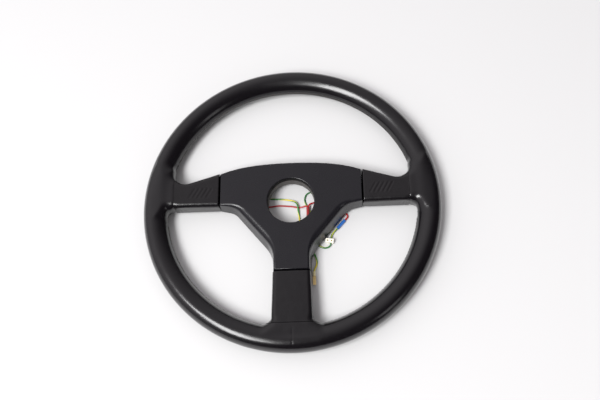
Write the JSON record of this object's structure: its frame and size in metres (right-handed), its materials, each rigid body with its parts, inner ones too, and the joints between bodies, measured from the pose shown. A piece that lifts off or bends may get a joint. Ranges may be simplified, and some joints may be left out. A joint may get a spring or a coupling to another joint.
{
  "type": "car steering wheel",
  "caption": "Sport steering wheel with a leather rim, padded wings on its spokes, and a sprung centre pad that sounds the horn when it is pressed.",
  "frame": {"origin": "on the steering axis, at the surface that the back of the rim lies on", "axes": "+Z along the steering axis towards the driver, +Y to the top of the wheel, +X to the driver's right"},
  "size_m": [0.38, 0.38, 0.03],
  "materials": {
    "rim_steel": "bare, inside the rim",
    "rim_foam": "closed foam, matte",
    "rim_leather": "smooth black leather, satin",
    "wing_leather": "grained black leather over padding, satin",
    "plate_paint": "black, semi-matte",
    "ring_plastic": "grey-brown, matte",
    "pad_plastic": "bluish black, fine grain, satin",
    "zinc_plate": "zinc plated",
    "zinc_steel": "zinc plated",
    "spring_steel": "bright wire",
    "insulator_plastic": "brown laminate",
    "brass": "plain",
    "lead_green_yellow": "green with a yellow stripe",
    "lead_red": "red",
    "splice_red": "dark red shrink sleeve",
    "connector_ivory": "ivory",
    "sleeve_blue": "blue",
    "sleeve_clear": "pale, slightly yellow"
  },
  "bodies": {
    "wheel": {"rim_ring": "rim_steel", "rim_foam": "rim_foam", "rim_leather_top": "rim_leather", "rim_leather_left": "rim_leather", "rim_leather_right": "rim_leather", "hub_plate": "plate_paint", "wing_left": "wing_leather", "wing_right": "wing_leather", "wing_bottom": "wing_leather", "button_ring": "ring_plastic", "ring_screws": "zinc_steel", "guide_screws": "zinc_steel", "spring_left": "spring_steel", "spring_right": "spring_steel", "spring_bottom": "spring_steel", "insulator_left": "insulator_plastic", "insulator_right": "insulator_plastic", "contact_left": "brass", "contact_right": "brass", "earth_tag_left": "brass", "earth_tag_right": "brass", "earth_screws": "zinc_steel", "lead_left_green": "lead_green_yellow", "lead_left_red": "lead_red", "lead_right_red": "lead_red", "lead_right_green": "lead_green_yellow", "lead_feed_red": "lead_red", "lead_jumper_green": "lead_green_yellow", "splice_sleeve": "splice_red", "connector_housing": "connector_ivory", "connector_contacts": "brass", "blue_sleeve": "sleeve_blue", "spade_terminal": "brass", "spade_sleeve": "sleeve_clear"},
    "pad": {"centre_pad": "pad_plastic", "pad_plate": "zinc_plate", "pad_screws": "zinc_steel", "pad_contact_left": "brass", "pad_contact_right": "brass"}
  },
  "joints": [
    {"name": "horn_pad_press", "type": "slide", "parent": "wheel", "child": "pad", "axis": [0, 0, -1], "range_m": [0, 0.0012], "stiffness_N_per_m": 3000, "springref_m": -0.003, "deforming": ["spring_left", "spring_right", "spring_bottom"]}
  ]
}
